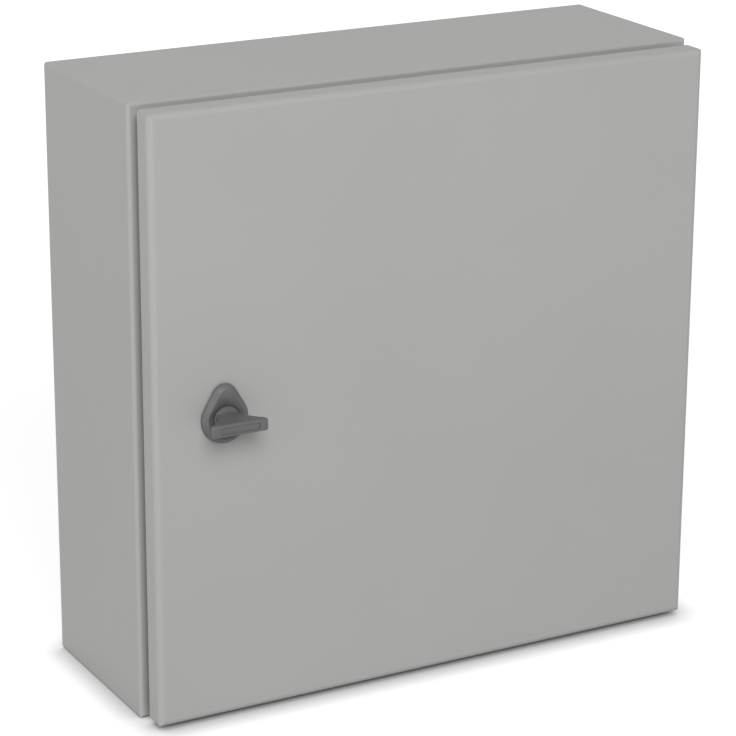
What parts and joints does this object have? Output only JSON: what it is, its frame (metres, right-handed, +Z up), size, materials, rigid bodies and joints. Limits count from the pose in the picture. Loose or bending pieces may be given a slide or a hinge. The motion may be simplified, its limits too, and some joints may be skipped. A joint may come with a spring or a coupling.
{
  "type": "steel wall enclosure",
  "caption": "Square sheet-steel wall enclosure with one hinged front door, a quarter-turn wing lock, a sealing lip and gutter, and a mounting plate inside.",
  "frame": {"origin": "middle of the back face, on the wall", "axes": "+Y into the wall, so the door faces -Y; +X to the right seen from the front; +Z up"},
  "size_m": [0.4, 0.1737, 0.4],
  "materials": {
    "body_paint": "light grey, fine-textured powder coat",
    "door_paint": "light grey, fine-textured powder coat",
    "galvanised_plate": "zinc-coated sheet",
    "zinc_hardware": "zinc-plated fasteners",
    "hinge_steel": "zinc-plated folded steel",
    "pin_steel": "bright turned steel",
    "spring_steel": "dark phosphated spring steel",
    "foam": "foamed polyurethane seal",
    "rubber": "black sheet rubber",
    "spacer_plastic": "dark grey moulded plastic",
    "lock_plastic": "dark grey, finely textured moulded plastic",
    "knob_plastic": "dark grey, finely textured moulded plastic",
    "die_cast": "zinc die casting"
  },
  "bodies": {
    "body": {"body_wrap": "body_paint", "rear_panel": "body_paint", "gland_plate": "body_paint", "mounting_plate": "galvanised_plate", "plate_studs": "zinc_hardware", "plate_spacers": "spacer_plastic", "plate_washers": "zinc_hardware", "plate_nuts": "zinc_hardware", "gland_gasket": "rubber", "gland_studs": "zinc_hardware", "gland_washers": "zinc_hardware", "gland_nuts": "zinc_hardware", "body_earth_stud": "zinc_hardware", "body_earth_washer": "zinc_hardware", "body_earth_nut": "zinc_hardware", "upper_hinge_bracket": "hinge_steel", "lower_hinge_bracket": "hinge_steel", "upper_hinge_pin": "pin_steel", "lower_hinge_pin": "pin_steel", "hinge_pin_clips": "spring_steel"},
    "door": {"door_panel": "door_paint", "upper_door_leaf": "hinge_steel", "lower_door_leaf": "hinge_steel", "door_gasket": "foam", "door_earth_stud": "zinc_hardware", "door_earth_washer": "zinc_hardware", "door_earth_nut": "zinc_hardware", "lock_gasket": "rubber", "lock_housing": "lock_plastic", "lock_nut": "zinc_hardware"},
    "lock": {"lock_spindle": "die_cast", "wing_knob": "knob_plastic", "lock_cam": "zinc_hardware", "cam_washer": "zinc_hardware", "cam_screw": "zinc_hardware"}
  },
  "joints": [
    {"name": "door_hinge", "type": "hinge", "parent": "body", "child": "door", "pos_m": [0.1925, -0.1435, 0], "axis": [0, 0, 1], "range_deg": [0, 130]},
    {"name": "lock_turn", "type": "hinge", "parent": "door", "child": "lock", "pos_m": [-0.1505, -0.15, 0.002], "axis": [0, 1, 0], "range_deg": [0, 90]}
  ]
}
